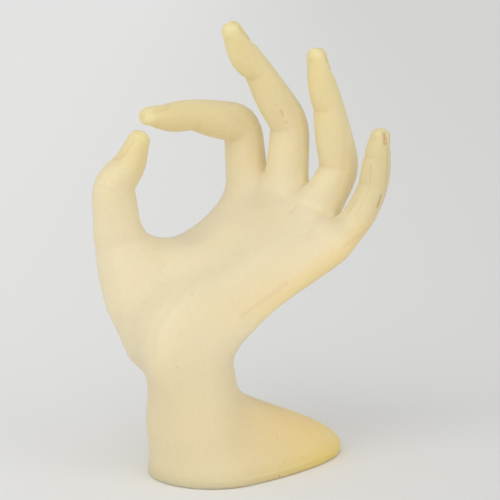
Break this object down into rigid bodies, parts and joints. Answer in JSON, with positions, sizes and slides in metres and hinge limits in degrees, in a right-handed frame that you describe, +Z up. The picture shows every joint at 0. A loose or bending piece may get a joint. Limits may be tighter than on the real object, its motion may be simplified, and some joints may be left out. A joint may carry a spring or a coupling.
{
  "type": "resin hand sculpture",
  "caption": "Frosted cast-resin display hand on a flared foot: thumb and index close a ring, the other fingers fan out to carry rings and chains.",
  "frame": {"origin": "on the table under the foot, midway between its heel and the end of its toe", "axes": "+Z up, -Y the way the palm looks, +Y along the foot's toe, -X the thumb's side"},
  "size_m": [0.077, 0.1119, 0.1921],
  "materials": {
    "resin": "frosted translucent cast resin, cream yellow",
    "felt": "thin cream felt"
  },
  "bodies": {
    "root": {"base_foot": "resin", "palm": "resin", "thumb": "resin", "index_finger": "resin", "middle_finger": "resin", "ring_finger": "resin", "little_finger": "resin", "base_pad": "felt"}
  },
  "joints": []
}
